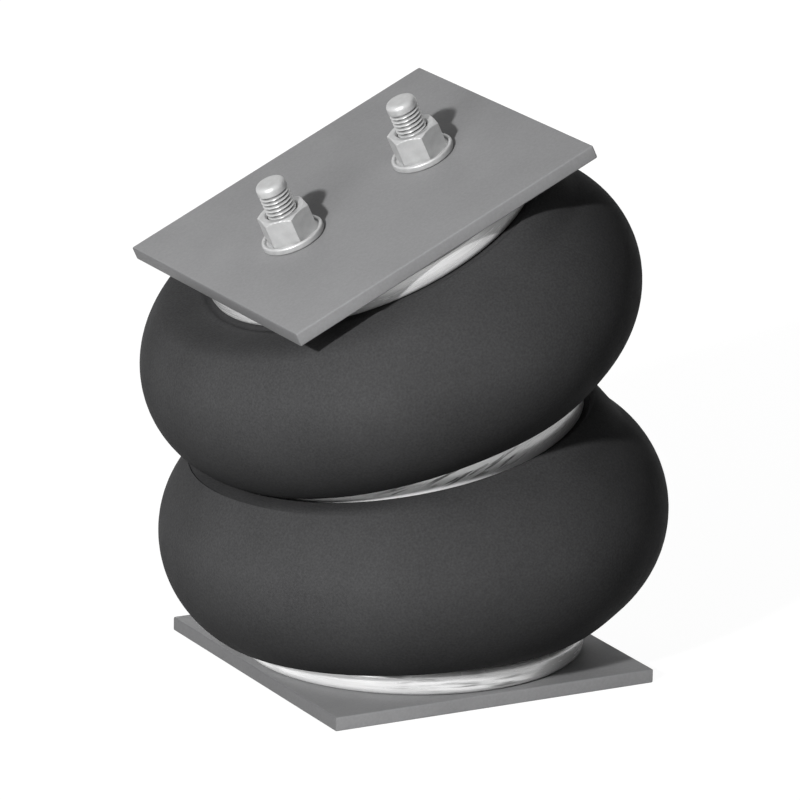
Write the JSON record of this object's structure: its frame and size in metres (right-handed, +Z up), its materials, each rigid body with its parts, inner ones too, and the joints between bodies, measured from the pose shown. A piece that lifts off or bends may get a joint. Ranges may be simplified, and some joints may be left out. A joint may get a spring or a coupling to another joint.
{
  "type": "air bellows actuator",
  "caption": "Double-convoluted rubber air bellows between two square steel plates, bent over to one side, with threaded studs and flange nuts on top.",
  "frame": {"origin": "middle of the base plate's underside", "axes": "+Z up from the base plate, +X along the line of the two studs, the top leans towards -X"},
  "size_m": [0.2226, 0.215, 0.2452],
  "materials": {
    "grey_finish": "satin grey paint",
    "polished_steel": "bright plated",
    "zinc_steel": "zinc plated",
    "black_rubber": "smooth moulded"
  },
  "bodies": {
    "base": {"base_plate": "grey_finish", "lower_bead_plate": "polished_steel", "lower_bead_wire": "polished_steel", "air_inlet_boss": "zinc_steel", "lower_nut_left": "zinc_steel", "lower_nut_right": "zinc_steel", "lower_screw_left": "zinc_steel", "lower_screw_right": "zinc_steel"},
    "lower_foot": {"lower_convolution_bottom": "black_rubber"},
    "lower_crown": {"lower_convolution_top": "black_rubber"},
    "waist": {"girdle_hoop": "polished_steel"},
    "upper_foot": {"upper_convolution_bottom": "black_rubber"},
    "upper_crown": {"upper_convolution_top": "black_rubber"},
    "head": {"upper_bead_plate": "polished_steel", "upper_bead_wire": "polished_steel", "top_plate": "grey_finish", "stud_left": "zinc_steel", "stud_right": "zinc_steel", "flange_nut_left": "zinc_steel", "flange_nut_right": "zinc_steel"}
  },
  "joints": [
    {"name": "lower_tilt", "type": "hinge", "parent": "base", "child": "lower_foot", "pos_m": [0, 0, 0.0616], "axis": [0, 1, 0], "range_deg": [0, 12.8], "stiffness_Nm_per_rad": 60, "deforming": ["lower_convolution_bottom"]},
    {"name": "lower_stroke", "type": "slide", "parent": "lower_foot", "child": "lower_crown", "axis": [-0.1115, 0, 0.9938], "range_m": [-0.05, 0.003], "stiffness_N_per_m": 20000, "deforming": ["lower_convolution_top"]},
    {"name": "waist_tilt", "type": "hinge", "parent": "lower_crown", "child": "waist", "pos_m": [-0.00494, 0, 0.10562], "axis": [0, 1, 0], "range_deg": [0, 12.8], "stiffness_Nm_per_rad": 60},
    {"name": "upper_tilt", "type": "hinge", "parent": "waist", "child": "upper_foot", "pos_m": [-0.01249, 0, 0.14924], "axis": [0, 1, 0], "range_deg": [0, 14.4], "stiffness_Nm_per_rad": 60, "deforming": ["upper_convolution_bottom"]},
    {"name": "upper_stroke", "type": "slide", "parent": "upper_foot", "child": "upper_crown", "axis": [-0.342, 0, 0.9397], "range_m": [-0.05, 0.003], "stiffness_N_per_m": 20000, "deforming": ["upper_convolution_top"]},
    {"name": "top_tilt", "type": "hinge", "parent": "upper_crown", "child": "head", "pos_m": [-0.02546, 0, 0.19804], "axis": [0, 1, 0], "range_deg": [0, 10.8], "stiffness_Nm_per_rad": 60}
  ],
  "couplings": [
    {"joint": "waist_tilt", "follows": "lower_tilt", "ratio": 1},
    {"joint": "upper_stroke", "follows": "lower_stroke", "ratio": 1},
    {"joint": "top_tilt", "follows": "upper_tilt", "ratio": 0.75}
  ]
}
